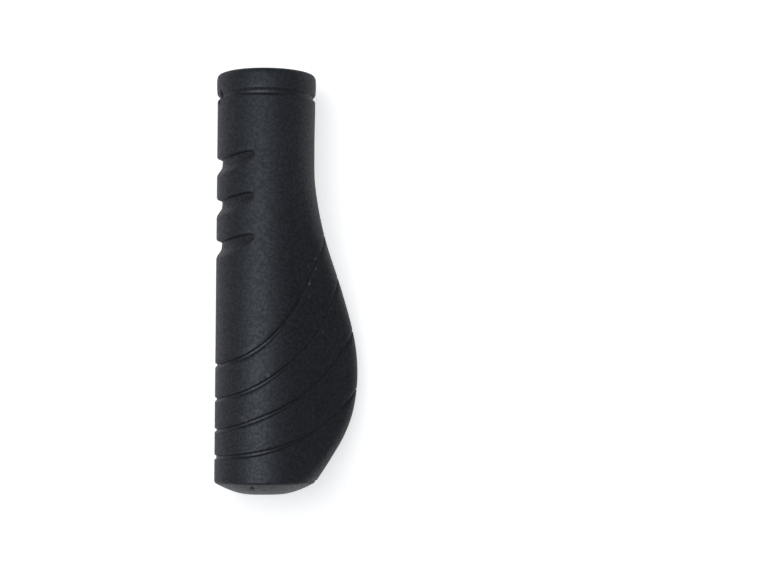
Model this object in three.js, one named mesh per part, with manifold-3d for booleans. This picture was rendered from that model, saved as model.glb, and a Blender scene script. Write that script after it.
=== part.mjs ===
// An ergonomic bicycle handlebar grip, moulded in one piece of black rubber.
//
// It is a round tube with a blind bore for the handlebar. A plain collar and a ring groove finish its
// open end, and a low dome closes the other. A wing for the palm grows out of one side, three finger
// notches are cut in the other side, and four thin grooves run right round both.
//
// Sizes are in millimetres. The grip is drawn with its bore along Y and its closed end at y = 0, so
// that y is the distance from the closed end. The wing points to +X. At the end of the file the grip
// is rolled onto the flat of its wing, as it comes to rest on a table, and set on the ground.

import * as THREE from 'three';
import { mergeVertices } from 'three/addons/utils/BufferGeometryUtils.js';
import Module from 'manifold-3d';

const wasm = await Module();
wasm.setup();

// Length and bore
const gripLength = 130;
const boreDiameter = 22;
const endWall = 5;
const mouthChamfer = 0.8;

// Thickness of the rubber round the bore: at the closed end, at the ring groove and at the collar
const heelWall = 4.55;
const neckWall = 4.2;
const collarWall = 4.3;

// Collar and ring groove at the open end
const collarLength = 6.1;
const collarEdgeRadius = 1.7;
const ringGrooveWidth = 2.3;
const ringGrooveDepth = 0.75;
const ringLip = 0.35;

// Closed end: a low dome with a flat in its middle, and a rounded rim that it meets at an angle
const domeHeight = 3.05;
const domeFlatDiameter = 15.6;
const domeFullness = 1.6;
const rimRadius = 1.1;
const rimStart = THREE.MathUtils.degToRad(33);

// Palm wing: how far it stands out beyond the round core, at distances from the closed end
const palmWing = [
  [4, 0.36],
  [10, 4.78],
  [18, 10.0],
  [26, 13.2],
  [37, 14.65],
  [48, 13.6],
  [62, 9.55],
  [80, 3.2],
  [95, 0.1],
  [106, -0.24],
  [119, 0],
];
const flankAngle = THREE.MathUtils.degToRad(22);
const flankCrown = 0.03;

// Finger notches, counted from the open end. Each is steep at its upper edge, and a ramp comes out of
// its floor to the lower edge. Both edges rise towards the notch's ends.
const notchCount = 3;
const notchStart = 26.9;
const notchPitch = 12.74;
const notchHeight = 5.3;
const notchDepth = 1.85;
const notchRampDepth = 1.6;
const notchTipDepth = 1.2;
const notchHalfAngle = THREE.MathUtils.degToRad(58.5);
const notchUpperRise = 2.4;
const notchLowerRise = 3.6;
const notchUpperBow = 1.6;
const notchLowerBow = 1.4;
const notchDepthBow = 3;
const notchTipFullness = 6;
const notchWallRun = 0.3;
const notchRampRun = 2.2;

// Palm grooves: each row holds one groove's distances from the closed end, at even steps from the
// finger side across to the palm edge, towards which the grooves grow narrower
const grooveWidth = 1.25;
const groovePalmWidth = 0.8;
const grooveDepth = 0.6;
const grooveHeights = [
  [39.3, 43.2, 49.3, 57.5, 69.7, 81.1],
  [29.0, 32.3, 37.4, 43.7, 50.6, 65.9],
  [19.6, 23.2, 27.5, 32.3, 40.3, 51.3],
  [11.3, 12.7, 15.5, 19.1, 25.1, 32.8],
];

// Fineness of the mesh
const roundSteps = 56;
const spreadSamples = 720;
const domeSteps = 4;
const rimSteps = 3;
const palmSteps = 12;
const neckSteps = 18;
const collarEdgeSteps = 4;
const notchSteps = 18;
const notchEnd = 0.995;
const grooveSteps = 18;
const grooveOverrun = 0.06;
const mergeDistance = 1e-4;

// Sizes that follow from those above
const boreRadius = boreDiameter / 2;
const heelRadius = boreRadius + heelWall;
const neckRadius = boreRadius + neckWall;
const collarRadius = boreRadius + collarWall;
const domeFlatRadius = domeFlatDiameter / 2;
const domeRadius = heelRadius - rimRadius * (1 - Math.sin(rimStart));
const bodyStart = domeHeight + rimRadius * Math.cos(rimStart);
const ringTop = gripLength - collarLength;
const ringBottom = ringTop - ringGrooveWidth;
const throughReach = 6 * heelRadius;

// Returns a smooth function through points [x, y] whose x rises: cubic pieces that meet in slope
function smoothThrough(points) {
  const last = points.length - 1;
  const slope = points.map((point, i) => {
    const before = points[Math.max(i - 1, 0)];
    const after = points[Math.min(i + 1, last)];
    return (after[1] - before[1]) / (after[0] - before[0]);
  });
  return (x) => {
    if (x <= points[0][0]) return points[0][1];
    if (x >= points[last][0]) return points[last][1];
    const i = points.findIndex((point) => point[0] > x) - 1;
    const width = points[i + 1][0] - points[i][0];
    const t = (x - points[i][0]) / width;
    const fromStart = (1 + 2 * t) * (1 - t) ** 2 * points[i][1] + t * (1 - t) ** 2 * width * slope[i];
    const fromEnd = t * t * (3 - 2 * t) * points[i + 1][1] + t * t * (t - 1) * width * slope[i + 1];
    return fromStart + fromEnd;
  };
}

const wingReach = smoothThrough(palmWing);
const widestPlace = palmWing.reduce((widest, point) => (point[1] > widest[1] ? point : widest))[0];

// Radius of the round core, which tapers evenly from the closed end to the ring groove
function coreRadius(y) {
  return THREE.MathUtils.lerp(heelRadius, neckRadius, THREE.MathUtils.clamp(y / ringBottom, 0, 1));
}

// How far the wing's outer rounding is carried out from the bore's axis
function wingOffset(y) {
  return wingReach(y) / (1 - Math.sin(flankAngle));
}

// One outline across the grip. At each turn of its normal it lies as far from the axis as the core
// and the wing need, so the wing's flanks are tangents to the core that meet a rounded edge.
function outlinePoint(turn, radius, wing) {
  const past = Math.cos(turn) - Math.sin(flankAngle);
  const root = Math.hypot(past, flankCrown);
  const distance = radius + wing * (past + root) / 2;
  const change = -wing * Math.sin(turn) * (1 + past / root) / 2;
  return new THREE.Vector2(
    distance * Math.cos(turn) - change * Math.sin(turn),
    distance * Math.sin(turn) + change * Math.cos(turn),
  );
}

// A ring of points round the grip, spread half by length and half by turn of the surface
function ring(y, radius, wing) {
  const samples = [];
  const lengths = [0];
  for (let i = 0; i <= spreadSamples; i++) {
    samples.push(outlinePoint((i / spreadSamples) * 2 * Math.PI, radius, wing));
    if (i > 0) lengths.push(lengths[i - 1] + samples[i].distanceTo(samples[i - 1]));
  }
  const total = lengths[spreadSamples];
  const spread = lengths.map((length, i) => (length / total + i / spreadSamples) / 2);
  const points = [];
  let i = 0;
  for (let j = 0; j < roundSteps; j++) {
    const wanted = j / roundSteps;
    while (spread[i + 1] < wanted) i++;
    const t = (wanted - spread[i]) / (spread[i + 1] - spread[i]);
    const point = samples[i].clone().lerp(samples[i + 1], t);
    points.push(new THREE.Vector3(point.x, y, point.y));
  }
  return points;
}

// A closed surface through rings of equal count, with a flat fan over the first and the last
function loft(rings) {
  const count = rings[0].length;
  const positions = rings.flat().flatMap((point) => point.toArray());
  const centres = [rings[0], rings[rings.length - 1]].map((points) => {
    const centre = new THREE.Vector3();
    points.forEach((point) => centre.addScaledVector(point, 1 / count));
    positions.push(...centre.toArray());
    return positions.length / 3 - 1;
  });
  const index = [];
  for (let i = 0; i < rings.length - 1; i++) {
    for (let j = 0; j < count; j++) {
      const here = i * count + j;
      const beside = i * count + ((j + 1) % count);
      index.push(here, here + count, beside + count);
      index.push(here, beside + count, beside);
    }
  }
  const top = (rings.length - 1) * count;
  for (let j = 0; j < count; j++) {
    const next = (j + 1) % count;
    index.push(centres[0], j, next);
    index.push(centres[1], top + next, top + j);
  }
  const geometry = new THREE.BufferGeometry();
  geometry.setAttribute('position', new THREE.Float32BufferAttribute(positions, 3));
  geometry.setIndex(index);
  return geometry;
}

function evenSteps(from, to, count) {
  return Array.from({ length: count + 1 }, (_, i) => THREE.MathUtils.lerp(from, to, i / count));
}

// Rings over the closed end: the flat, the dome and its rounded rim
function closedEndRings() {
  const dome = evenSteps(0, 1, domeSteps).map((out) => {
    const radius = THREE.MathUtils.lerp(domeFlatRadius, domeRadius, out);
    return ring(domeHeight * out ** domeFullness, radius, 0);
  });
  const rim = evenSteps(rimStart, Math.PI / 2, rimSteps).slice(1, -1).map((turn) => {
    const radius = heelRadius - rimRadius * (1 - Math.sin(turn));
    return ring(bodyStart - rimRadius * Math.cos(turn), radius, 0);
  });
  return [...dome, ...rim];
}

// Rings over the body, from the rim of the closed end to the ring groove. They lie closer together
// up to the widest place of the wing. The inset makes a smaller copy, parallel to the surface.
function bodyRings(inset) {
  const places = [
    ...evenSteps(bodyStart, widestPlace, palmSteps),
    ...evenSteps(widestPlace, ringBottom - ringLip, neckSteps).slice(1),
  ];
  return places.map((y) => ring(y, coreRadius(y) - inset, wingOffset(y)));
}

// Rings over the groove below the collar, the collar itself and its rounded edge
function collarRings() {
  const floor = neckRadius - ringGrooveDepth;
  const rings = [
    ring(ringBottom, neckRadius - ringLip, 0),
    ring(ringBottom + ringLip, floor, 0),
    ring(ringTop - ringLip, floor, 0),
    ring(ringTop, collarRadius - ringLip, 0),
    ring(ringTop + ringLip, collarRadius, 0),
  ];
  for (const turn of evenSteps(0, Math.PI / 2, collarEdgeSteps)) {
    const outward = collarEdgeRadius * (1 - Math.cos(turn));
    const y = gripLength - collarEdgeRadius * (1 - Math.sin(turn));
    rings.push(ring(y, collarRadius - outward, 0));
  }
  return rings;
}

// Rings down the bore: its chamfered mouth, its wall and its flat bottom
function boreRings() {
  return [
    ring(gripLength, boreRadius + mouthChamfer, 0),
    ring(gripLength - mouthChamfer, boreRadius, 0),
    ring(endWall, boreRadius, 0),
  ];
}

// The solid that cuts one finger notch. It is swept round the finger side, and it grows shallower and
// closes to a rounded tip at each end.
function notchCutter(top) {
  const rings = evenSteps(-Math.PI / 2, Math.PI / 2, notchSteps).map((step) => {
    const across = Math.sin(step);
    const reach = Math.abs(across);
    const upper = top + notchUpperRise * reach ** notchUpperBow;
    const lower = top - notchHeight + notchLowerRise * reach ** notchLowerBow;
    const tip = Math.sqrt(1 - Math.min(reach, notchEnd) ** notchTipFullness);
    const middle = (upper + lower) / 2;
    const half = ((upper - lower) / 2) * tip;
    const share = THREE.MathUtils.lerp(1, notchTipDepth / notchDepth, reach ** notchDepthBow) * tip;
    const surface = coreRadius(middle);
    const angle = Math.PI - across * notchHalfAngle;
    const section = [
      [surface + notchDepth * share, middle + half + notchWallRun * share],
      [surface - notchDepth * share, middle + half - notchWallRun * share],
      [surface - notchRampDepth * share, middle - half + notchRampRun * share],
      [surface, middle - half],
      [surface + notchDepth * share, middle - half - notchRampRun * share],
    ];
    return section.map(([radius, y]) => new THREE.Vector3(
      radius * Math.cos(angle),
      y,
      radius * Math.sin(angle),
    ));
  });
  return loft(rings);
}

// A groove's line, seen square to the wing, as places [x, y]. It runs on a little past both sides.
function grooveLine(heights) {
  const last = heights.length - 1;
  const fingerSide = -coreRadius(heights[0]);
  const palmSide = coreRadius(heights[last]) + wingReach(heights[last]);
  const height = smoothThrough(heights.map((y, i) => [i / last, y]));
  const startSlope = (heights[1] - heights[0]) * last;
  const endSlope = (heights[last] - heights[last - 1]) * last;
  return evenSteps(-grooveOverrun, 1 + grooveOverrun, grooveSteps).map((t) => {
    const beyond = startSlope * Math.min(t, 0) + endSlope * Math.max(t - 1, 0);
    return new THREE.Vector2(THREE.MathUtils.lerp(fingerSide, palmSide, t), height(t) + beyond);
  });
}

// A wall through the whole grip that follows a groove's line
function grooveWall(heights) {
  const line = grooveLine(heights);
  const sides = [1, -1].map((side) => line.map((point, i) => {
    const before = line[Math.max(i - 1, 0)];
    const after = line[Math.min(i + 1, line.length - 1)];
    const along = after.clone().sub(before).normalize();
    const width = THREE.MathUtils.lerp(grooveWidth, groovePalmWidth, i / (line.length - 1));
    return new THREE.Vector2(-along.y, along.x).multiplyScalar(side * width / 2).add(point);
  }));
  const shape = new THREE.Shape([...sides[0], ...sides[1].reverse()]);
  const wall = new THREE.ExtrudeGeometry(shape, { depth: throughReach, bevelEnabled: false });
  return wall.translate(0, 0, -throughReach / 2);
}

function toSolid(geometry) {
  const bare = geometry.clone();
  bare.deleteAttribute('normal');
  bare.deleteAttribute('uv');
  const merged = mergeVertices(bare, mergeDistance);
  return new wasm.Manifold(new wasm.Mesh({
    numProp: 3,
    vertProperties: new Float32Array(merged.attributes.position.array),
    triVerts: new Uint32Array(merged.index.array),
  }));
}

function toGeometry(solid) {
  const mesh = solid.getMesh();
  const geometry = new THREE.BufferGeometry();
  geometry.setAttribute('position', new THREE.BufferAttribute(mesh.vertProperties, 3));
  geometry.setIndex(new THREE.BufferAttribute(mesh.triVerts, 1));
  geometry.computeVertexNormals();
  return geometry;
}

function gripGeometry() {
  let solid = toSolid(loft([...closedEndRings(), ...bodyRings(0), ...collarRings(), ...boreRings()]));
  for (let i = 0; i < notchCount; i++) {
    solid = solid.subtract(toSolid(notchCutter(gripLength - notchStart - i * notchPitch)));
  }
  const inside = toSolid(loft(bodyRings(grooveDepth)));
  for (const heights of grooveHeights) {
    solid = solid.subtract(toSolid(grooveWall(heights)).subtract(inside));
  }
  return toGeometry(solid);
}

const rubber = new THREE.MeshStandardMaterial({ color: 0x1c1e21, roughness: 0.6, metalness: 0 });

const grip = new THREE.Mesh(gripGeometry(), rubber);
grip.name = 'grip';

// At rest the grip lies on the flat of its wing, with the middle of its footprint at the origin
grip.rotation.y = flankAngle;
grip.updateMatrixWorld(true);
const bounds = new THREE.Box3().setFromObject(grip, true);
grip.position.set(-(bounds.min.x + bounds.max.x) / 2, -gripLength / 2, -bounds.min.z);

const group = new THREE.Group();
group.add(grip);

export default group;
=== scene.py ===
"""An ergonomic handlebar grip of black rubber, lying on a white table under a soft studio light.

The grip's outside is drawn again at full fineness over its CAD solid, with rounded lips on its
grooves and notches and a moulded grain. Sizes are in metres.
"""

import math

import bpy
import numpy as np
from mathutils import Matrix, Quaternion, Vector


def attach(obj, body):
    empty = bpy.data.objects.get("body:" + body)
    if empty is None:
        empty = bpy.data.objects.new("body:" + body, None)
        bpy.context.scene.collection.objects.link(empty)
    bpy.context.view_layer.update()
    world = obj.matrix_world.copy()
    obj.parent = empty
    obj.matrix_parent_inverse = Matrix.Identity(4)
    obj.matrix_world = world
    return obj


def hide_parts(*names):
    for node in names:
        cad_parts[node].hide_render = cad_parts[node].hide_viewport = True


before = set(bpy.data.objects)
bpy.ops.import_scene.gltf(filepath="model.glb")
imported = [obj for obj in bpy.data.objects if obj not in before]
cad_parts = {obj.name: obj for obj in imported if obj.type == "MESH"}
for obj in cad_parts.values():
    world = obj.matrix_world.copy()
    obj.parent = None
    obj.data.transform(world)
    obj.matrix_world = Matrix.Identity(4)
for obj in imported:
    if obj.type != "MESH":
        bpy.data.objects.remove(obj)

bl_info = {
    "name": "Handlebar Grip",
    "version": (1, 0, 0),
    "blender": (4, 5, 0),
    "location": "View3D > Sidebar > Handlebar Grip",
    "description": "Builds an ergonomic rubber handlebar grip and its studio",
    "category": "Object",
}

MM = 0.001
WHITE = (1.0, 1.0, 1.0)
NODE_GAP = (260, -220)
NODES_IN_ROW = 6


def length(name, description, millimetres):
    """A size of the grip, given in millimetres and held in metres."""
    return bpy.props.FloatProperty(
        name=name, description=description, default=millimetres * MM, precision=5, unit="LENGTH"
    )


def lengths(name, description, millimetres):
    """A row of sizes, given in millimetres and held in metres."""
    return bpy.props.FloatVectorProperty(
        name=name,
        description=description,
        default=[value * MM for value in millimetres],
        size=len(millimetres),
        precision=5,
        unit="LENGTH",
    )


def number(name, description, value):
    """A plain number."""
    return bpy.props.FloatProperty(name=name, description=description, default=value, precision=4)


def shares(name, description, values):
    """A row of plain numbers."""
    return bpy.props.FloatVectorProperty(
        name=name, description=description, default=values, size=len(values), precision=3
    )


def angle(name, description, degrees):
    """An angle, given in degrees and held in radians."""
    return bpy.props.FloatProperty(
        name=name, description=description, default=math.radians(degrees), unit="ROTATION"
    )


def count(name, description, value):
    """A whole number."""
    return bpy.props.IntProperty(name=name, description=description, default=value, min=1)


def colour(name, description, value):
    """A linear colour."""
    return bpy.props.FloatVectorProperty(
        name=name, description=description, default=value, size=3, subtype="COLOR", min=0.0
    )


class GripShape(bpy.types.PropertyGroup):
    """Sizes of the round core, the collar, the ring groove, the bore and the closed end."""

    grip_length: length("Length", "From the closed end to the open end", 130)
    bore_diameter: length("Bore", "Diameter of the bore for the handlebar", 22)
    bore_rounding: length("Bore rounding", "Rounding of the bore's edges", 0.2)
    end_wall: length("End wall", "Rubber between the bore and the closed end", 5)
    mouth_chamfer: length("Mouth chamfer", "Chamfer round the bore's mouth", 0.8)
    heel_wall: length("Heel wall", "Rubber round the bore at the closed end", 4.55)
    neck_wall: length("Neck wall", "Rubber round the bore at the ring groove", 4.2)
    collar_wall: length("Collar wall", "Rubber round the bore at the collar", 4.3)
    collar_length: length("Collar length", "Length of the collar at the open end", 6.1)
    collar_crown: length("Collar crown", "How far the collar's side bulges out", 0.2)
    collar_edge: length("Collar edge", "Rounding of the collar's edge", 1.45)
    ring_width: length("Ring width", "Width of the groove below the collar", 2.3)
    ring_depth: length("Ring depth", "Depth of the groove below the collar", 0.75)
    ring_floor_drop: length("Ring floor drop", "How much deeper the ring groove is at its lower side", 0.12)
    ring_lower: length("Ring lower", "How much narrower the ring groove is at its lower edge", 0.32)
    ring_lower_run: length("Ring lower run", "How far the ring groove's lower wall leans", 0.35)
    ring_upper_run: length("Ring upper run", "How far the ring groove's upper wall leans", 0.85)
    ring_rounding: length("Ring rounding", "Rounding of the ring groove's edges", 0.26)
    dome_height: length("Dome height", "Height of the dome on the closed end", 3.25)
    dome_flat: length("Dome flat", "Diameter of the flat in the dome's middle", 10.4)
    dome_fullness: number("Dome fullness", "How late the dome turns down to its rim", 1.6)
    rim_radius: length("Rim radius", "Rounding between the dome and the body", 1.2)
    rim_start: angle("Rim start", "Turn of the surface where the dome meets its rim", 27)
    pit_reach: length("Pit reach", "Distance of the small moulding pit from the axis", 13.1)
    pit_turn: angle("Pit turn", "Turn of the moulding pit from the wing", 125)
    pit_radius: length("Pit radius", "Half the width of the moulding pit", 0.7)
    pit_depth: length("Pit depth", "Depth of the moulding pit", 0.8)
    tear_low: length("Tear low", "From the closed end to the lower end of the small tear", 119.9)
    tear_high: length("Tear high", "From the closed end to the upper end of the small tear", 124.4)
    tear_turn: angle("Tear turn", "Turn of the tear's upper end past the parting line", -6.2)
    tear_slant: angle("Tear slant", "Turn of the tear from its upper to its lower end", 11)
    tear_half: angle("Tear width", "Half the turn that the tear covers", 1.7)
    tear_depth: length("Tear depth", "Depth of the tear", 1.7)
    tear_bow: number("Tear bow", "How late the tear grows shallower towards its ends", 3.0)
    flap_place: length("Flap place", "From the closed end to the lifted rubber beside the tear", 122.9)
    flap_turn: angle("Flap turn", "Turn of the lifted rubber past the parting line", 2)
    flap_half: length("Flap size", "Half the width of the lifted rubber", 0.5)
    flap_height: length("Flap height", "Height of the lifted rubber", 0.3)


class WingShape(bpy.types.PropertyGroup):
    """Sizes of the palm wing and of the grooves that wrap round it."""

    wing_places: lengths(
        "Places", "Distances from the closed end", (4, 10, 18, 26, 37, 48, 62, 80, 95, 106, 119)
    )
    wing_reach: lengths(
        "Reach",
        "How far the wing stands out beyond the core at each place",
        (0.36, 4.78, 10.0, 13.2, 14.65, 13.6, 9.55, 3.2, 0.1, -0.24, 0.0),
    )
    flank_angle: angle("Flank angle", "Half the angle between the wing's flanks", 22)
    flank_crown: number("Flank crown", "How softly the flanks leave the core", 0.03)
    groove_width: length("Groove width", "Width of a groove on the finger side", 1.3)
    groove_palm_width: length("Groove palm width", "Width of a groove at the palm edge", 0.85)
    groove_depth: length("Groove depth", "Depth of a groove", 0.6)
    flank_depth: number("Flank depth", "Share of the depth that a groove keeps on the wing's flank", 0.42)
    flank_place: number("Flank place", "Where a groove is shallowest, as a share of its way across", 0.72)
    flank_reach: number("Flank reach", "How far that shallow stretch reaches to each side", 0.26)
    flank_bow: number("Flank bow", "How suddenly that shallow stretch ends", 4.0)
    groove_wall: length("Groove wall", "Width of a groove's sloping wall", 0.42)
    groove_hollow: number("Groove hollow", "How much the floor rises towards its walls", 0.12)
    groove_1: lengths("Groove 1", "Distances from the closed end", (39.2, 42.8, 48.5, 56.8, 68.8, 81.3))
    groove_2: lengths("Groove 2", "Distances from the closed end", (28.8, 32.3, 37.4, 43.7, 52.9, 68.0))
    groove_3: lengths("Groove 3", "Distances from the closed end", (19.4, 22.9, 27.0, 32.5, 40.4, 51.2))
    groove_4: lengths("Groove 4", "Distances from the closed end", (11.3, 12.8, 15.4, 19.3, 25.1, 32.9))


class NotchShape(bpy.types.PropertyGroup):
    """Sizes of the finger notches."""

    notch_count: count("Notches", "How many finger notches there are", 3)
    notch_start: length("Start", "From the open end to the first notch's upper edge", 26.65)
    notch_pitch: length("Pitch", "From one notch to the next", 12.74)
    notch_height: length("Height", "Height of a notch in its middle", 5.55)
    notch_depth: length("Depth", "Depth of a notch below its upper edge", 1.85)
    ramp_depth: length("Ramp depth", "Depth of a notch where its ramp starts", 1.6)
    tip_depth: length("Tip depth", "Depth of a notch near its ends", 1.2)
    half_angle: angle("Half angle", "Half the turn that a notch covers", 58.5)
    upper_rise: length("Upper rise", "How much the upper edge rises towards the ends", 2.4)
    lower_rise: length("Lower rise", "How much the lower edge rises towards the ends", 3.6)
    upper_bow: number("Upper bow", "How late the upper edge rises", 1.6)
    lower_bow: number("Lower bow", "How late the lower edge rises", 1.4)
    depth_bow: number("Depth bow", "How late a notch grows shallower", 3.0)
    tip_fullness: number("Tip fullness", "How blunt a notch's ends are", 4.0)
    wall_run: length("Wall run", "How far the upper wall leans", 0.62)
    ramp_run: length("Ramp run", "Length of the ramp along the grip", 2.2)
    upper_lip: length("Upper lip", "Reach of the rounding along the upper edge", 0.75)
    lower_lip: length("Lower lip", "Reach of the rounding along the lower edge", 0.7)
    inner_rounding: length("Inner rounding", "Rounding of a notch's inner corners", 0.3)


class RubberLook(bpy.types.PropertyGroup):
    """Finish of the rubber."""

    base: colour("Colour", "Colour of the rubber", (0.0042, 0.0047, 0.0058))
    bloom: colour("Bloom", "Colour of the paler bloom on the rubber", (0.030, 0.032, 0.036))
    bloom_share: number("Bloom share", "How much of the bloom shows where it is thickest", 0.10)
    bloom_size: length("Bloom size", "Size of the bloom's patches", 18.0)
    bloom_band: shares("Bloom band", "Noise levels between which the bloom grows", (0.35, 0.7))
    bloom_detail: number("Bloom detail", "Levels of detail in the bloom", 5.0)
    mottle_share: number("Mottle share", "How much of the bloom shows in the grain's spots", 0.55)
    mottle_size: length("Mottle size", "Size of the grain's spots", 0.85)
    mottle_band: shares("Mottle band", "Noise levels between which the spots grow", (0.3, 0.75))
    mottle_detail: number("Mottle detail", "Levels of detail in the spots", 2.0)
    patchiness: number("Patchiness", "Strength of the fine detail in the bloom and the spots", 0.6)
    roughness: number("Roughness", "Roughness of the moulded surface", 0.55)
    rough_change: number("Rough change", "How much the roughness changes over the grain", 0.05)
    rough_band: shares("Rough band", "Noise levels between which the roughness falls", (0.3, 0.7))
    floor_roughness: number("Floor roughness", "Roughness of the smoother groove floors", 0.46)
    ior: number("Refraction", "Refractive index of the rubber's surface", 1.46)
    gloss_tint: colour("Gloss tint", "Tint of the rubber's gloss", (0.80, 0.87, 1.0))
    grain_size: length("Grain size", "Size of the moulded grain", 0.6)
    grain_height: length("Grain height", "Height of the moulded grain", 0.046)
    grain_detail: number("Grain detail", "Levels of detail in the grain", 3.0)
    grain_roughness: number("Grain roughness", "Strength of the fine detail in the grain", 0.5)
    parting_width: length("Parting width", "Width of the mould's parting line", 0.16)
    parting_height: length("Parting height", "Height of the mould's parting line", 0.05)
    # The pale tone and the sizes below serve real scuffs and also a painted highlight along the highest
    # groove's upper edge.
    scuff_and_highlight_tone: colour("Scuff tone", "Colour of the rubber where it is scuffed", (0.062, 0.062, 0.064))
    scuff_and_highlight_radius: length("Scuff size", "Radius of a scuff", 0.66)
    scuff_and_highlight_outer: number("Scuff outer", "Where a scuff starts, as a share of its radius", 1.5)
    scuff_and_highlight_inner: number("Scuff inner", "Where a scuff is full, as a share of its radius", 0.9)
    scuff_1: lengths("Scuff 1", "Place of the scuff beside the highest groove", (7.53, -0.74, 23.95))
    scuff_2: lengths("Scuff 2", "Place of the scuff above the second groove", (-4.53, -29.1, 31.14))
    # Painted highlight on the highest groove's upper edge.
    painted_lip_highlight: lengths("Scuff 3", "Upper scuff on the highest groove's edge", (9.26, 7.11, 22.12))
    faint_share: number("Faint share", "Strength of the fainter scuffs", 0.5)
    # This place and the next paint a fainter highlight along the same groove edge.
    faint_lip_highlight_1: lengths("Faint scuff 1", "Lower scuff on the highest groove's edge", (7.2, 4.6, 24.2))
    faint_lip_highlight_2: lengths("Faint scuff 2", "Faint scuff beside that edge", (9.49, 3.98, 21.99))
    faint_3: lengths("Faint scuff 3", "Faint scuff below the highest groove", (7.46, -4.63, 24.07))
    faint_4: lengths("Faint scuff 4", "Faint scuff in the flank's middle", (11.55, -15.25, 20.3))
    faint_5: lengths("Faint scuff 5", "Faint scuff above the third groove", (-12.3, -41.5, 30.1))
    faint_6: lengths("Faint scuff 6", "Faint scuff beside that one", (-11.2, -42.6, 30.4))


class StudioLook(bpy.types.PropertyGroup):
    """Camera, table and lights."""

    focal: number("Focal length", "Focal length of the camera in millimetres", 84.375)
    sensor: number("Sensor", "Width of the camera's sensor in millimetres", 36.0)
    tilt: angle("Tilt", "Tilt of the camera from straight down", 4.0)
    distance: length("Distance", "From the camera to the bore's axis", 558.4)
    aside: length("Aside", "How far the camera stands to the right of the bore's axis", 36.71)
    look_along: length("Look along", "Place along the grip that the camera looks at", 63.58)
    table_half: length("Table", "Half the width of the table", 3000)
    table_colour: colour("Table colour", "Colour of the table as its light shows it", (0.85, 0.85, 0.85))
    table_lift: number("Table lift", "Brightness that the table adds to its own colour", 0.17)
    table_glow: number("Table glow", "Brightness of the table to the camera without its light", 0.68)
    shadow_share: number("Shadow share", "Brightness that the light adds to the table for the camera", 0.58)
    dark_away: length("Dark card away", "From the bore's axis to the dark card", 54)
    dark_from: length("Dark card from", "Near end of the dark card along the grip", -70)
    dark_to: length("Dark card to", "Far end of the dark card along the grip", 28)
    dark_height: length("Dark card height", "Height of the dark card", 34)
    dark_glow: number("Dark card glow", "Brightness of the dark card", 0.12)
    white_left: length("White card left", "From the bore's axis to the left end of the white card", 50)
    white_right: length("White card right", "From the bore's axis to the right end of the white card", 42)
    white_near: length("White card near", "From the closed end to the white card", 6)
    white_far: length("White card far", "From the closed end to the white card's far side", 90)
    white_glow: number("White card glow", "Brightness of the white card", 1.2)
    room: colour("Room", "Light of the dim room round the table", (0.24, 0.25, 0.27))
    room_half: length("Room half width", "Half the width of the room, as the rubber's gloss shows it", 2800)
    room_low: length("Room low", "Height where the room's dim walls start above the white table", 60)
    room_high: length("Room high", "Height of the room's dim ceiling", 2200)
    room_walls: colour("Room walls", "Brightness of the room's walls and ceiling", (0.22, 0.23, 0.25))
    key_power: number("Key power", "Power of the large soft light in watts", 3.6)
    key_size: length("Key size", "Width of the large soft light", 520)
    light_colour: colour("Light colour", "Colour of both lights", (0.96, 0.98, 1.0))
    key_place: lengths("Key place", "Place of the large soft light", (-190, 130, 690))
    gloss_power: number("Gloss power", "Power of the light that only gives the rubber its gloss", 3.5)
    gloss_width: length("Gloss width", "Width of the gloss light", 400)
    gloss_length: length("Gloss length", "Length of the gloss light", 520)
    gloss_place: lengths("Gloss place", "Place of the gloss light", (-165, -130, 700))
    gloss_turn: angle("Gloss turn", "Turn of the gloss light about its own beam", -24)


class FinenessSettings(bpy.types.PropertyGroup):
    """Fineness of the mesh."""

    columns: count("Columns", "Vertices round the grip", 312)
    turn_samples: count("Turn samples", "Samples round an outline when spacing the columns", 2880)
    dense_share: number("Dense share", "Share of the columns kept for each place with fine detail", 0.045)
    dense_half: angle("Dense half", "Half the turn of a place with fine detail", 4.0)
    height_step: length("Height step", "Spacing of the table of outlines", 0.5)
    gap_rows: count("Gap rows", "Rows between two grooves", 9)
    lower_rows: count("Lower rows", "Rows between the rim and the lowest groove", 14)
    upper_rows: count("Upper rows", "Rows between the highest groove and the notches", 14)
    floor_rows: count("Floor rows", "Rows on the floor of a notch", 3)
    palm_lift: length("Palm lift", "How far rows bend up on the palm side", 9.0)
    lift_limit: number("Lift limit", "Most of the palm lift that a row takes", 1.1)
    tip_opening: number("Tip opening", "Share of a notch's height that its rows keep at its ends", 0.3)
    flat_rows: shares("Flat rows", "Places of the rows on the closed end's flat", (0.15, 0.55, 0.85))
    bottom_share: number("Bottom share", "Width of the middle of the bore's bottom, as a share of it", 0.2)
    ramp_rows: shares("Ramp rows", "Rows along a ramp, in shares", (0.45, 0.65, 0.8, 0.9, 1.0, 1.12, 1.3))
    lean_rows: shares("Lean rows", "Rows along a leaning wall, in shares", (0.6, 0.8, 1.0, 1.25, 1.8))
    tear_rows: count("Tear rows", "Rows on the body beside the tear", 7)
    dome_rows: count("Dome rows", "Rows over the dome", 18)
    rim_rows: count("Rim rows", "Rows over the rim", 8)
    corner_rows: count("Corner rows", "Rows over a rounded corner", 5)
    wall_rows: count("Wall rows", "Rows over a groove's sloping wall", 5)


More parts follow.
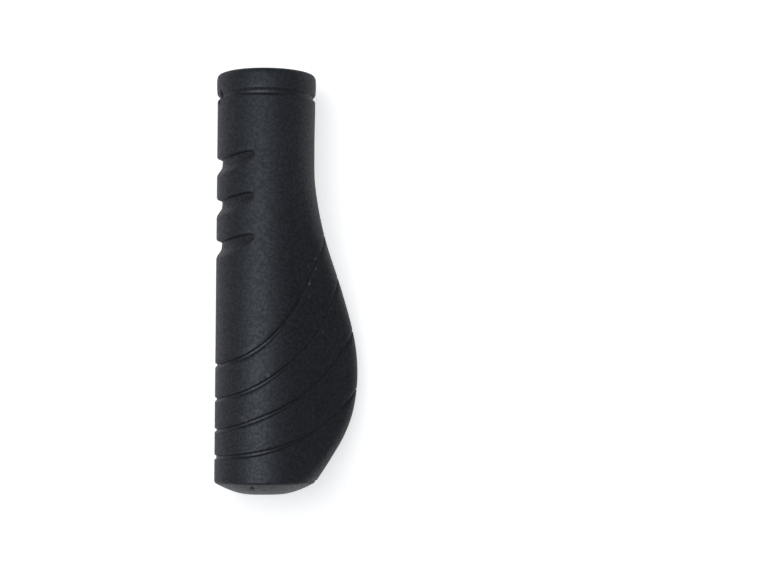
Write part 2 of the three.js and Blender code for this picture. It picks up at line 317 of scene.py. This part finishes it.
def smooth_through(places, values):
    """A smooth function through points whose places rise: cubic pieces that meet in slope."""
    places, values = np.array(places, float), np.array(values, float)
    slope = np.empty(len(places))
    slope[1:-1] = (values[2:] - values[:-2]) / (places[2:] - places[:-2])
    slope[0] = (values[1] - values[0]) / (places[1] - places[0])
    slope[-1] = (values[-1] - values[-2]) / (places[-1] - places[-2])

    def at(place):
        place = np.clip(place, places[0], places[-1])
        i = np.clip(np.searchsorted(places, place, side="right") - 1, 0, len(places) - 2)
        width = places[i + 1] - places[i]
        t = (place - places[i]) / width
        from_start = (1 + 2 * t) * (1 - t) ** 2 * values[i] + t * (1 - t) ** 2 * width * slope[i]
        from_end = t**2 * (3 - 2 * t) * values[i + 1] + t**2 * (t - 1) * width * slope[i + 1]
        return from_start + from_end

    return at


def smooth_step(value):
    """0 below 0, 1 above 1 and a smooth rise between them."""
    value = np.clip(value, 0.0, 1.0)
    return value * value * (3 - 2 * value)


def soft_least(a, b, rounding):
    """The smaller of a and b, rounded where they cross."""
    return (a + b - np.sqrt((a - b) ** 2 + rounding**2)) / 2


def round_corners(points, cuts, steps):
    """A polyline with each inner corner swept round, starting that far before and after it."""
    points = [np.array(point, float) for point in points]
    rounded = [points[0]]
    for before, corner, after, cut in zip(points, points[1:], points[2:], cuts):
        start = corner + (before - corner) * cut / np.linalg.norm(before - corner)
        end = corner + (after - corner) * cut / np.linalg.norm(after - corner)
        for t in np.linspace(0, 1, steps + 1):
            rounded.append((1 - t) ** 2 * start + 2 * t * (1 - t) * corner + t**2 * end)
    return [*rounded, points[-1]]


class Surface:
    """The grip's smooth outside, before grooves and notches: points by column and height."""

    def __init__(self, scene):
        shape, wing, fine = scene.grip_shape, scene.grip_wing, scene.grip_fineness
        self.wing = wing
        bore = shape.bore_diameter / 2
        self.heel = bore + shape.heel_wall
        self.neck = bore + shape.neck_wall
        self.collar = bore + shape.collar_wall
        self.ring_top = shape.grip_length - shape.collar_length
        self.ring_bottom = self.ring_top - shape.ring_width
        self.body_start = shape.dome_height + shape.rim_radius * math.cos(shape.rim_start)
        self.body_end = self.ring_bottom + shape.ring_lower - shape.ring_lower_run / 2 - shape.ring_rounding
        self.reach = smooth_through(wing.wing_places, wing.wing_reach)
        self.fine = fine
        self.columns = fine.columns
        self.dense_turns = [math.pi + side * scene.grip_notch.half_angle for side in (-1, 0, 1)]
        steps = int(math.ceil((self.ring_top - self.body_start) / fine.height_step)) + 1
        self.heights = self.body_start + fine.height_step * np.arange(steps)
        self.turns = np.array([self.spread(y) for y in self.heights])

    def core(self, y):
        return self.heel + (self.neck - self.heel) * np.clip(y / self.ring_bottom, 0, 1)

    def offset(self, y):
        """How far the wing's outer rounding is carried out from the bore's axis."""
        return self.reach(y) / (1 - math.sin(self.wing.flank_angle))

    def bulge(self, turn):
        """Share of the wing's offset that the surface has at a turn, and its change with the turn."""
        past = np.cos(turn) - math.sin(self.wing.flank_angle)
        root = np.hypot(past, self.wing.flank_crown)
        return (past + root) / 2, -np.sin(turn) * (1 + past / root) / 2

    def outline(self, turn, y):
        """Places (x, z) on the outline at height y, where the surface is turned that way."""
        bulge, change = self.bulge(turn)
        distance = self.core(y) + self.offset(y) * bulge
        change = self.offset(y) * change
        x = distance * np.cos(turn) - change * np.sin(turn)
        z = distance * np.sin(turn) + change * np.cos(turn)
        return x, z

    def spread(self, y):
        """Turns of the columns at height y, spread half by length and half by turn, and dense at details."""
        samples, share, half = self.fine.turn_samples, self.fine.dense_share, self.fine.dense_half
        turn = np.linspace(0, 2 * math.pi, samples + 1)
        x, z = self.outline(turn, y)
        run = np.concatenate([[0.0], np.cumsum(np.hypot(np.diff(x), np.diff(z)))])
        even = (run / run[-1] + turn / turn[-1]) / 2
        dense = sum(smooth_step((turn - place + half) / (2 * half)) for place in self.dense_turns)
        spread = (1 - share * len(self.dense_turns)) * even + share * dense
        return np.interp(np.arange(self.columns) / self.columns, spread, turn)

    def turn_at(self, y):
        """Turn of every column where it is at the height y given for it."""
        last = len(self.heights) - 1
        place = np.clip((y - self.heights[0]) / self.fine.height_step, 0, last)
        low = np.minimum(place.astype(int), last - 1)
        part = place - low
        column = np.arange(self.columns)
        return self.turns[low, column] * (1 - part) + self.turns[low + 1, column] * part

    def points(self, y, depth):
        """Points of a row, one a column, sunk below the smooth surface by a depth."""
        turn = self.turn_at(y)
        x, z = self.outline(turn, y)
        near = self.fine.height_step / 2
        climb = self.core(y + near) - self.core(y - near)
        climb = climb + (self.offset(y + near) - self.offset(y - near)) * self.bulge(turn)[0]
        normal = np.stack([np.cos(turn), -climb / (2 * near), np.sin(turn)], 1)
        normal /= np.linalg.norm(normal, axis=1)[:, None]
        return np.stack([x, y, z], 1) - normal * depth[:, None]


class Rows:
    """Rows of vertices along the grip, each with how polished it is."""

    def __init__(self, columns):
        self.flat = np.zeros(columns)
        self.points = []
        self.polish = []

    def add(self, points, polish=0.0):
        self.points.append(points)
        self.polish.append(self.flat + polish)

    def extend(self, rows):
        self.points += rows.points
        self.polish += rows.polish


def groove_line(surface, heights):
    """A groove's height at every column, its stretch along the grip and its share of the way across."""
    last = len(heights) - 1
    finger = -surface.core(heights[0])
    palm = surface.core(heights[-1]) + surface.reach(heights[-1])
    rise = smooth_through(np.linspace(0, 1, last + 1), heights)
    start_slope = (heights[1] - heights[0]) * last
    end_slope = (heights[-1] - heights[-2]) * last
    y = surface.heights[:, None]
    across = (surface.outline(surface.turns, y)[0] - finger) / (palm - finger)
    beyond = start_slope * np.minimum(across, 0) + end_slope * np.maximum(across - 1, 0)
    excess = y - rise(across) - beyond
    line = np.array([np.interp(0, column, surface.heights) for column in excess.T])
    x, z = surface.outline(surface.turn_at(line), line)
    run = np.hypot(np.roll(x, -1) - np.roll(x, 1), np.roll(z, -1) - np.roll(z, 1))
    stretch = np.hypot(1.0, (np.roll(line, -1) - np.roll(line, 1)) / run)
    return line, stretch, np.clip((x - finger) / (palm - finger), 0, 1)


def groove_rows(scene, surface, heights):
    """Rows across a groove, from its lower side: heights, depths and polish."""
    wing, fine = scene.grip_wing, scene.grip_fineness
    line, stretch, across = groove_line(surface, heights)
    half = (wing.groove_width + (wing.groove_palm_width - wing.groove_width) * across) / 2
    wall = wing.groove_wall * 2 * half / wing.groove_width
    flank = np.exp(-(np.abs((across - wing.flank_place) / wing.flank_reach) ** wing.flank_bow))
    depth = wing.groove_depth * (1 + (wing.flank_depth - 1) * flank)
    sink = np.linspace(0, 1, fine.wall_rows + 1)
    floor = np.linspace(-1, 1, fine.wall_rows)[1:-1]
    places = [-half + wall * (share - 0.5) for share in sink]
    places += [(half - wall / 2) * share for share in floor]
    places += [half - wall * (share - 0.5) for share in sink[::-1]]
    rows = []
    for away in places:
        sunk = smooth_step((half + wall / 2 - np.abs(away)) / wall)
        hollow = 1 - wing.groove_hollow * (away / half) ** 2
        rows.append((line + away * stretch, depth * sunk * hollow, sunk**2))
    return rows


class Notches:
    """The finger notches: their edges, the rows that follow them and their depth."""

    def __init__(self, scene):
        self.notch = notch = scene.grip_notch
        self.fine = fine = scene.grip_fineness
        first = scene.grip_shape.grip_length - notch.notch_start
        self.tops = [first - i * notch.notch_pitch for i in reversed(range(notch.notch_count))]
        # A wall and a ramp are each drawn on to twice their depth, past the floor that cuts them off.
        far = notch.notch_height
        wall = [(-far, 0.0), (0.0, 0.0), (2 * notch.wall_run, 2 * notch.notch_depth)]
        ramp = [(-far, 0.0), (0.0, 0.0), (2 * notch.ramp_run, 2 * notch.ramp_depth)]
        self.wall = np.array(round_corners(wall, [notch.upper_lip], fine.corner_rows))
        self.ramp = np.array(round_corners(ramp, [notch.lower_lip], fine.corner_rows))

    def edges(self, top, turn):
        """Middle of a notch, half its height and its reach from the finger side, at a turn."""
        notch = self.notch
        reach = np.abs(math.pi - turn) / notch.half_angle
        within = np.minimum(reach, 1.0)
        upper = top + notch.upper_rise * within**notch.upper_bow
        lower = top - notch.notch_height + notch.lower_rise * within**notch.lower_bow
        tip = np.sqrt(1 - within**notch.tip_fullness)
        return (upper + lower) / 2, (upper - lower) / 2, tip, within

    def depth(self, y, turn):
        """Depth of the notches at a height and turn."""
        notch = self.notch
        deepest = np.zeros_like(y)
        for top in self.tops:
            middle, half, tip, reach = self.edges(top, turn)
            share = (1 + (notch.tip_depth / notch.notch_depth - 1) * reach**notch.depth_bow) * tip
            fall = np.clip((middle + half * tip - y) / notch.notch_height, 0, 1)
            floor = share * (notch.notch_depth - (notch.notch_depth - notch.ramp_depth) * fall)
            wall = np.interp(middle + half * tip - y, self.wall[:, 0], self.wall[:, 1])
            ramp = np.interp(y - middle + half * tip, self.ramp[:, 0], self.ramp[:, 1])
            rounding = notch.inner_rounding / notch.ramp_depth
            sides = soft_least(wall, ramp, rounding * tip * np.minimum(wall, ramp))
            cut = soft_least(sides, floor, rounding * np.minimum(sides, floor))
            deepest = np.maximum(deepest, cut)
        return deepest

    def guides(self, top, turn):
        """Heights of the rows over a notch, from its lower edge."""
        notch, fine = self.notch, self.fine
        middle, half, tip, _ = self.edges(top, turn)
        half = half * np.hypot(tip, fine.tip_opening) / math.hypot(1.0, fine.tip_opening)
        ramp = [*self.ramp[1:-1, 0], *(notch.ramp_run * share for share in fine.ramp_rows)]
        wall = [*self.wall[1:-1, 0], *(notch.wall_run * share for share in fine.lean_rows)]
        room = ramp[-1] + wall[-1] + notch.inner_rounding
        tight = np.minimum(1.0, 2 * half / room)
        lower = [middle - half + min(s, 0.0) + max(s, 0.0) * tight for s in ramp]
        upper = [middle + half - min(s, 0.0) - max(s, 0.0) * tight for s in wall]
        return lower + between(lower[-1], upper[-1], fine.floor_rows) + upper[::-1]


def between(low, high, rows):
    """Heights of rows evenly placed between two given ones."""
    return [low + (high - low) * (i + 1) / (rows + 1) for i in range(rows)]


def tear_depth(scene, y, turn):
    """Depth of the small tear on the parting line, and of the rubber lifted beside it."""
    shape = scene.grip_shape
    along = (shape.tear_high - y) / (shape.tear_high - shape.tear_low)
    aside = (turn - math.pi - shape.tear_turn - shape.tear_slant * along) / shape.tear_half
    ends = smooth_step(1 - np.abs(2 * along - 1) ** shape.tear_bow)
    tear = shape.tear_depth * np.exp(-(aside**2)) * ends
    flap_turn = (turn - math.pi - shape.flap_turn) * (shape.bore_diameter / 2 + shape.neck_wall)
    flap = shape.flap_height * np.exp(-(flap_turn**2 + (y - shape.flap_place) ** 2) / shape.flap_half**2)
    return tear - flap


def body_rows(scene, surface):
    """Rows from the rim of the closed end to the ring groove."""
    wing, fine = scene.grip_wing, scene.grip_fineness
    notches = Notches(scene)
    rows = Rows(surface.columns)

    def add(heights, depths=0.0, polish=0.0):
        turn = surface.turn_at(heights)
        depths = depths + notches.depth(heights, turn) + tear_depth(scene, heights, turn)
        rows.add(surface.points(heights, depths), polish)

    low = np.full(surface.columns, surface.body_start)
    gap = fine.lower_rows
    add(low)
    for groove in (wing.groove_4, wing.groove_3, wing.groove_2, wing.groove_1):
        across = groove_rows(scene, surface, list(groove))
        for heights in between(low, across[0][0], gap):
            add(heights)
        for heights, depths, polish in across:
            add(heights, depths, polish)
        low = across[-1][0]
        gap = fine.gap_rows

    half_angle = scene.grip_notch.half_angle
    end = np.full(surface.columns, surface.body_end)
    turn = surface.turn_at(end)
    palm = smooth_step((np.abs(math.pi - turn) - half_angle) / (math.pi - half_angle))
    room = surface.body_end - notches.tops[0]

    def lifted(heights):
        """Rows bend up on the palm side, to stay clear of the highest groove."""
        share = np.clip((surface.body_end - heights) / room, 0, fine.lift_limit)
        return heights + palm * fine.palm_lift * share

    gap = fine.upper_rows
    for top in notches.tops:
        guides = [lifted(heights) for heights in notches.guides(top, turn)]
        for heights in between(low, guides[0], gap) + guides:
            add(heights)
        low = guides[-1]
        gap = fine.gap_rows
    tear = np.full(surface.columns, scene.grip_shape.tear_low)
    for heights in between(low, tear, gap) + [tear] + between(tear, end, fine.tear_rows) + [end]:
        add(heights)
    return rows


def circle(surface, y, radius):
    """A round row about the bore, with its vertices where the columns are."""
    turn = surface.turn_at(np.full(surface.columns, y))
    radius = radius + np.zeros(surface.columns)
    return np.stack([radius * np.cos(turn), np.full(surface.columns, y), radius * np.sin(turn)], 1)


def closed_end_rows(scene, surface):
    """Rows over the closed end, from its middle to the rim, with the small moulding pit."""
    shape, fine = scene.grip_shape, scene.grip_fineness
    edge = surface.heel - shape.rim_radius * (1 - math.sin(shape.rim_start))
    flat = shape.dome_flat / 2
    line = [(0.0, flat * share) for share in fine.flat_rows]
    for out in np.linspace(0, 1, fine.dome_rows + 1):
        line.append((shape.dome_height * out**shape.dome_fullness, flat + (edge - flat) * out))
    for turn in np.linspace(shape.rim_start, math.pi / 2, fine.rim_rows + 1)[1:-1]:
        radius = surface.heel - shape.rim_radius * (1 - math.sin(turn))
        line.append((surface.body_start - shape.rim_radius * math.cos(turn), radius))
    pit_x, pit_z = shape.pit_reach * math.cos(shape.pit_turn), shape.pit_reach * math.sin(shape.pit_turn)
    rows = Rows(surface.columns)
    for y, radius in line:
        row = circle(surface, y, radius)
        away = np.hypot(row[:, 0] - pit_x, row[:, 2] - pit_z) / shape.pit_radius
        row[:, 1] += shape.pit_depth * np.exp(-(away**2))
        rows.add(row)
    return rows


def open_end_rows(scene, surface):
    """Rows over the ring groove, the collar and the bore, down to the bore's bottom."""
    shape, fine = scene.grip_shape, scene.grip_fineness
    bore = shape.bore_diameter / 2
    floor = surface.neck - shape.ring_depth
    lower, lower_run = surface.ring_bottom + shape.ring_lower, shape.ring_lower_run
    upper, upper_run = surface.ring_top, shape.ring_upper_run
    corners = [
        (surface.body_end, surface.neck),
        (lower - lower_run / 2, surface.neck),
        (lower + lower_run / 2, floor),
        (upper - upper_run, floor + shape.ring_floor_drop),
        (upper, surface.collar),
        (upper + shape.collar_length / 2, surface.collar + shape.collar_crown),
        (shape.grip_length, surface.collar),
        (shape.grip_length, bore + shape.mouth_chamfer),
        (shape.grip_length - shape.mouth_chamfer, bore),
        (shape.end_wall, bore),
        (shape.end_wall, bore * fine.bottom_share),
    ]
    ring, bore_edge = shape.ring_rounding, shape.bore_rounding
    cuts = [ring] * 4 + [shape.collar_length / 4, shape.collar_edge] + [bore_edge] * 3
    rows = Rows(surface.columns)
    for y, radius in round_corners(corners, cuts, fine.corner_rows)[1:]:
        turn = surface.turn_at(np.full(surface.columns, y))
        outside = radius > floor - ring
        depth = tear_depth(scene, np.full(surface.columns, y), turn) if outside else 0.0
        rows.add(circle(surface, y, radius - depth), float(lower < y < upper - upper_run and outside))
    return rows


def grip_mesh(scene):
    """The grip's mesh, lying on the flat of its wing with its footprint's middle at the origin."""
    surface = Surface(scene)
    rows = Rows(surface.columns)
    for made in (closed_end_rows, body_rows, open_end_rows):
        rows.extend(made(scene, surface))
    first, last = rows.points[0].mean(0), rows.points[-1].mean(0)
    x, y, z = np.concatenate(rows.points + [first[None], last[None]]).T
    y = y - scene.grip_shape.grip_length / 2
    roll = scene.grip_wing.flank_angle
    cos, sin = math.cos(roll), math.sin(roll)
    placed = np.stack([x * cos + z * sin, y, z * cos - x * sin], 1)
    axis = Vector((-(placed[:, 0].min() + placed[:, 0].max()) / 2, 0.0, -placed[:, 2].min()))
    placed += np.array(axis)

    columns, count_rows = surface.columns, len(rows.points)
    here = np.arange(columns)
    beside = np.roll(here, -1)
    faces = []
    for low in range(0, (count_rows - 1) * columns, columns):
        high = low + columns
        faces += np.stack([low + here, high + here, high + beside, low + beside], 1).tolist()
    end = (count_rows - 1) * columns
    closed, open_end = count_rows * columns, count_rows * columns + 1
    faces += [(closed, j, k) for j, k in zip(here.tolist(), beside.tolist())]
    faces += [(open_end, end + k, end + j) for j, k in zip(here.tolist(), beside.tolist())]
    mesh = bpy.data.meshes.new("grip_skin")
    mesh.from_pydata(placed.tolist(), [], faces)
    polish = mesh.attributes.new("polish", "FLOAT", "POINT")
    polish.data.foreach_set("value", np.concatenate(rows.polish + [np.zeros(2)]).astype(np.float32))
    mesh.shade_smooth()
    return mesh, axis


class NodeSheet:
    """Adds shader nodes to a node tree and joins them."""

    def __init__(self, tree):
        self.tree = tree
        self.tree.nodes.clear()

    def add(self, kind, **settings):
        node = self.tree.nodes.new(kind)
        for key, value in settings.items():
            setattr(node, key, value)
        down, right = divmod(len(self.tree.nodes), NODES_IN_ROW)
        node.location = (NODE_GAP[0] * right, NODE_GAP[1] * down)
        return node

    def join(self, value, socket):
        """Joins an output to an input, or sets the input to a plain value."""
        if isinstance(value, bpy.types.NodeSocket):
            self.tree.links.new(value, socket)
        else:
            socket.default_value = value

    def set(self, node, **values):
        """Joins or sets each input that is named."""
        for name, value in values.items():
            self.join(value, node.inputs[name.replace("_", " ")])

    def maths(self, operation, *inputs):
        node = self.add("ShaderNodeMath", operation=operation)
        for socket, value in zip(node.inputs, inputs):
            self.join(value, socket)
        return node.outputs["Value"]

    def vectors(self, operation, place, vector):
        """A place put together with a plain vector."""
        node = self.add("ShaderNodeVectorMath", operation=operation)
        self.join(place, node.inputs[0])
        self.join(tuple(vector), node.inputs[1])
        return node.outputs

    def glow(self, tone, strength):
        """A surface that glows evenly."""
        node = self.add("ShaderNodeEmission")
        self.set(node, Color=(*tone, 1.0), Strength=strength)
        return node.outputs["Emission"]

    def matt_and_glow(self, tone, strength):
        """A matt surface that also glows white."""
        matt = self.add("ShaderNodeBsdfDiffuse")
        self.set(matt, Color=(*tone, 1.0))
        both = self.add("ShaderNodeAddShader")
        self.join(matt.outputs["BSDF"], both.inputs[0])
        self.join(self.glow(WHITE, strength), both.inputs[1])
        return both.outputs["Shader"]

    def where_seen(self, hidden, seen, in_gloss):
        """One shader to most rays, another to the camera, and in gloss and through glass if asked."""
        path = self.add("ShaderNodeLightPath")
        shown = path.outputs["Is Camera Ray"]
        for name in ("Is Glossy Ray", "Is Transmission Ray") if in_gloss else ():
            shown = self.maths("MAXIMUM", shown, path.outputs[name])
        mix = self.add("ShaderNodeMixShader")
        self.join(shown, mix.inputs["Fac"])
        self.join(hidden, mix.inputs[1])
        self.join(seen, mix.inputs[2])
        return mix.outputs["Shader"]

    def ramp(self, value, band, result):
        """A smooth run from the first to the second result, as a value goes through a band."""
        node = self.add("ShaderNodeMapRange", interpolation_type="SMOOTHSTEP")
        self.set(node, Value=value, From_Min=band[0], From_Max=band[1], To_Min=result[0], To_Max=result[1])
        return node.outputs["Result"]

    def noise(self, place, size, detail, roughness):
        """Noise from 0 to 1, of a size in metres."""
        node = self.add("ShaderNodeTexNoise")
        self.set(node, Vector=place, Scale=1 / size, Detail=detail, Roughness=roughness)
        return node.outputs["Fac"]

    def blend(self, factor, first, second):
        """A colour between two others."""
        node = self.add("ShaderNodeMix", data_type="RGBA")
        for name, value in (("Factor_Float", factor), ("A_Color", first), ("B_Color", second)):
            self.join(value, next(s for s in node.inputs if s.identifier == name))
        return next(s for s in node.outputs if s.identifier == "Result_Color")


def new_material(name):
    """An empty material, its node sheet and the socket for its surface."""
    material = bpy.data.materials.new(name)
    material.use_nodes = True
    sheet = NodeSheet(material.node_tree)
    return material, sheet, sheet.add("ShaderNodeOutputMaterial").inputs["Surface"]


def rubber_colour(look, sheet, place, mottle, grain):
    """Black with a faint paler bloom, spots in the grain, a few ragged scuff marks and a painted highlight
    along the highest groove's upper edge.
    """
    patches = sheet.noise(place, look.bloom_size, look.bloom_detail, look.patchiness)
    patches = sheet.ramp(patches, look.bloom_band, (0.0, look.bloom_share))
    spots = sheet.ramp(mottle, look.mottle_band, (0.0, look.mottle_share))
    tone = sheet.blend(sheet.maths("ADD", patches, spots), (*look.base, 1.0), (*look.bloom, 1.0))
    ragged = sheet.maths("MULTIPLY", grain, look.scuff_and_highlight_radius)
    band = (look.scuff_and_highlight_radius * look.scuff_and_highlight_outer, look.scuff_and_highlight_radius * look.scuff_and_highlight_inner)
    clear = (look.scuff_1, look.scuff_2, look.painted_lip_highlight)
    faint = (look.faint_lip_highlight_1, look.faint_lip_highlight_2, look.faint_3, look.faint_4, look.faint_5, look.faint_6)
    # Real scuffs and a painted highlight along the highest groove's upper edge share this pale tone.
    for marks, strength in ((clear, 1.0), (faint, look.faint_share)):
        for spot in marks:
            far = sheet.maths("ADD", sheet.vectors("DISTANCE", place, spot)["Value"], ragged)
            marked = sheet.ramp(far, band, (0.0, strength))
            tone = sheet.blend(marked, tone, (*look.scuff_and_highlight_tone, 1.0))
    return tone


def rubber_material(scene, axis):
    """Black moulded rubber: grain, faint bloom, scuff marks, a painted highlight on a groove's edge, a
    parting line and smoother groove floors.
    """
    look = scene.grip_look
    roll = scene.grip_wing.flank_angle
    material, sheet, surface = new_material("black_rubber")
    shader = sheet.add("ShaderNodeBsdfPrincipled")
    sheet.join(shader.outputs["BSDF"], surface)
    place = sheet.add("ShaderNodeTexCoord").outputs["Object"]
    polish = sheet.add("ShaderNodeAttribute", attribute_name="polish").outputs["Fac"]
    matt = sheet.maths("SUBTRACT", 1.0, polish)
    mottle = sheet.noise(place, look.mottle_size, look.mottle_detail, look.patchiness)
    grain = sheet.noise(place, look.grain_size, look.grain_detail, look.grain_roughness)
    tone = rubber_colour(look, sheet, place, mottle, grain)

    rough, change = look.roughness, look.rough_change
    smoother = sheet.maths("MULTIPLY", polish, look.floor_roughness - rough)
    rough = sheet.ramp(mottle, look.rough_band, (rough + change, rough - change))
    rough = sheet.maths("ADD", rough, smoother)

    height = sheet.maths("MULTIPLY", sheet.maths("MULTIPLY", grain, look.grain_height), matt)
    beside = sheet.vectors("SUBTRACT", place, axis)["Vector"]
    plane = sheet.vectors("DOT_PRODUCT", beside, (math.sin(roll), 0.0, math.cos(roll)))
    away = sheet.maths("ABSOLUTE", plane["Value"])
    parting = sheet.ramp(away, (look.parting_width, 0.0), (0.0, look.parting_height))
    bump = sheet.add("ShaderNodeBump")
    sheet.set(bump, Strength=1.0, Distance=1.0, Height=sheet.maths("ADD", height, parting))

    sheet.set(shader, IOR=look.ior, Specular_Tint=(*look.gloss_tint, 1.0))
    sheet.set(shader, Base_Color=tone, Roughness=rough, Normal=bump.outputs["Normal"])
    return material


class GRIP_OT_build_grip(bpy.types.Operator):
    """Build the rubber grip over its CAD solid"""

    bl_idname = "grip.build_grip"
    bl_label = "Build Grip"

    def execute(self, context):
        scene = context.scene
        mesh, axis = grip_mesh(scene)
        if not mesh.polygons:
            raise RuntimeError("the grip's mesh has no faces")
        grip = bpy.data.objects.new("grip_skin", mesh)
        scene.collection.objects.link(grip)
        mesh.materials.append(rubber_material(scene, axis))
        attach(grip, "root")
        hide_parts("grip")
        scene["grip_axis"] = list(axis)
        return {"FINISHED"}


def flat_panel(name, corners):
    """A flat four-sided stage piece."""
    mesh = bpy.data.meshes.new(name)
    mesh.from_pydata(corners, [], [(0, 1, 2, 3)])
    panel = bpy.data.objects.new(name, mesh)
    bpy.context.scene.collection.objects.link(panel)
    return panel


def table(look):
    """The white table. The camera sees it as white, with the grip's shadow on it."""
    half = look.table_half
    panel = flat_panel("table", [(-half, -half, 0), (half, -half, 0), (half, half, 0), (-half, half, 0)])
    paint, sheet, surface = new_material("white_table")
    given = sheet.matt_and_glow(look.table_colour, look.table_lift)
    seen = sheet.matt_and_glow((look.shadow_share,) * 3, look.table_glow)
    sheet.join(sheet.where_seen(given, seen, False), surface)
    panel.data.materials.append(paint)


def gloss_card(name, corners, brightness, tone=WHITE):
    """A card of even brightness, seen only in the rubber's soft reflections."""
    card = flat_panel(name, corners)
    face, sheet, surface = new_material(name + "_face")
    sheet.join(sheet.glow(tone, brightness), surface)
    card.data.materials.append(face)
    card.visible_camera = False
    card.visible_diffuse = False
    card.visible_shadow = False


def cards(scene, look, axis):
    """A dark card beside the wing, and a white one on the table before the closed end."""
    x, high = axis.x + look.dark_away, look.dark_height
    near, far = look.dark_from, look.dark_to
    corners = [(x, near, 0), (x, far, 0), (x, far, high), (x, near, high)]
    gloss_card("dark_card", corners, look.dark_glow)
    left, right = axis.x - look.white_left, axis.x + look.white_right
    end = -scene.grip_shape.grip_length / 2
    near, far = end - look.white_near, end - look.white_far
    corners = [(left, far, MM), (right, far, MM), (right, near, MM), (left, near, MM)]
    gloss_card("white_card", corners, look.white_glow)


def room_light(scene, look):
    """A dim even room, whose background is white to the camera, in gloss and through glass."""
    world = bpy.data.worlds.new("room")
    world.use_nodes = True
    scene.world = world
    sheet = NodeSheet(world.node_tree)
    output = sheet.add("ShaderNodeOutputWorld")
    room, white = (sheet.add("ShaderNodeBackground") for _ in range(2))
    sheet.set(room, Color=(*look.room, 1.0), Strength=1.0)
    sheet.set(white, Color=(*WHITE, 1.0), Strength=1.0)
    shown = sheet.where_seen(room.outputs["Background"], white.outputs["Background"], True)
    sheet.join(shown, output.inputs["Surface"])


def room_walls(look):
    """Dim walls and a dim ceiling, which keep the rubber's gloss dark above the white table."""
    half, low, high = look.room_half, look.room_low, look.room_high
    ends = [(-half, -half), (half, -half), (half, half), (-half, half)]
    for i, (start, end) in enumerate(zip(ends, ends[1:] + ends[:1])):
        corners = [(*start, low), (*end, low), (*end, high), (*start, high)]
        gloss_card(f"room_wall_{i + 1}", corners, 1.0, look.room_walls)
    gloss_card("room_ceiling", [(*end, high) for end in ends], 1.0, look.room_walls)


def soft_light(scene, name, size, power, place, turn=0.0):
    """A flat soft light that faces the grip, turned about its own beam."""
    lamp = bpy.data.lights.new(name, "AREA")
    lamp.shape = "RECTANGLE"
    lamp.size, lamp.size_y = size
    lamp.energy = power
    lamp.color = scene.grip_studio.light_colour
    light = bpy.data.objects.new(name, lamp)
    light.location = place
    light.rotation_mode = "QUATERNION"
    facing = (-Vector(place)).to_track_quat("-Z", "Y")
    light.rotation_quaternion = facing @ Quaternion((0.0, 0.0, 1.0), turn)
    scene.collection.objects.link(light)
    return light


def lights(scene, look):
    """The large soft light above, and the narrower one that gives the rubber its gloss."""
    size = (look.key_size, look.key_size)
    key = soft_light(scene, "softbox", size, look.key_power, look.key_place)
    key.visible_glossy = False
    size = (look.gloss_width, look.gloss_length)
    gloss = soft_light(scene, "gloss_light", size, look.gloss_power, look.gloss_place, look.gloss_turn)
    gloss.visible_diffuse = False


def camera(scene, look, axis):
    """The camera, nearly straight above the grip."""
    lens = bpy.data.cameras.new("camera")
    lens.lens = look.focal
    lens.sensor_width = look.sensor
    lens.sensor_fit = "HORIZONTAL"
    viewer = bpy.data.objects.new("camera", lens)
    viewer.location = (
        axis.x + look.aside,
        look.look_along - scene.grip_shape.grip_length / 2 - look.distance * math.sin(look.tilt),
        axis.z + look.distance * math.cos(look.tilt),
    )
    viewer.rotation_euler = (look.tilt, 0.0, 0.0)
    scene.collection.objects.link(viewer)
    scene.camera = viewer


class GRIP_OT_build_studio(bpy.types.Operator):
    """Set the white table, the lights, what the rubber's gloss shows, and the camera"""

    bl_idname = "grip.build_studio"
    bl_label = "Build Studio"

    def execute(self, context):
        scene = context.scene
        look = scene.grip_studio
        if "grip_axis" not in scene:
            raise RuntimeError("build the grip before its studio")
        axis = Vector(scene["grip_axis"])
        table(look)
        cards(scene, look, axis)
        room_light(scene, look)
        room_walls(look)
        lights(scene, look)
        camera(scene, look, axis)
        scene.view_settings.view_transform = "Standard"
        return {"FINISHED"}


class GRIP_PT_panel(bpy.types.Panel):
    """Lists what builds the handlebar grip"""

    bl_idname = "GRIP_PT_panel"
    bl_label = "Handlebar Grip"
    bl_space_type = "VIEW_3D"
    bl_region_type = "UI"
    bl_category = "Handlebar Grip"

    def draw(self, context):
        self.layout.operator(GRIP_OT_build_grip.bl_idname)
        self.layout.operator(GRIP_OT_build_studio.bl_idname)


GROUPS = {
    "grip_shape": GripShape,
    "grip_wing": WingShape,
    "grip_notch": NotchShape,
    "grip_look": RubberLook,
    "grip_studio": StudioLook,
    "grip_fineness": FinenessSettings,
}
CLASSES = (*GROUPS.values(), GRIP_OT_build_grip, GRIP_OT_build_studio, GRIP_PT_panel)


def register():
    for cls in CLASSES:
        bpy.utils.register_class(cls)
    for name, cls in GROUPS.items():
        setattr(bpy.types.Scene, name, bpy.props.PointerProperty(type=cls))


def unregister():
    for name in GROUPS:
        delattr(bpy.types.Scene, name)
    for cls in reversed(CLASSES):
        bpy.utils.unregister_class(cls)


def main():
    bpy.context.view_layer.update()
    register()
    bpy.ops.grip.build_grip()
    bpy.ops.grip.build_studio()


if __name__ == "__main__":
    main()
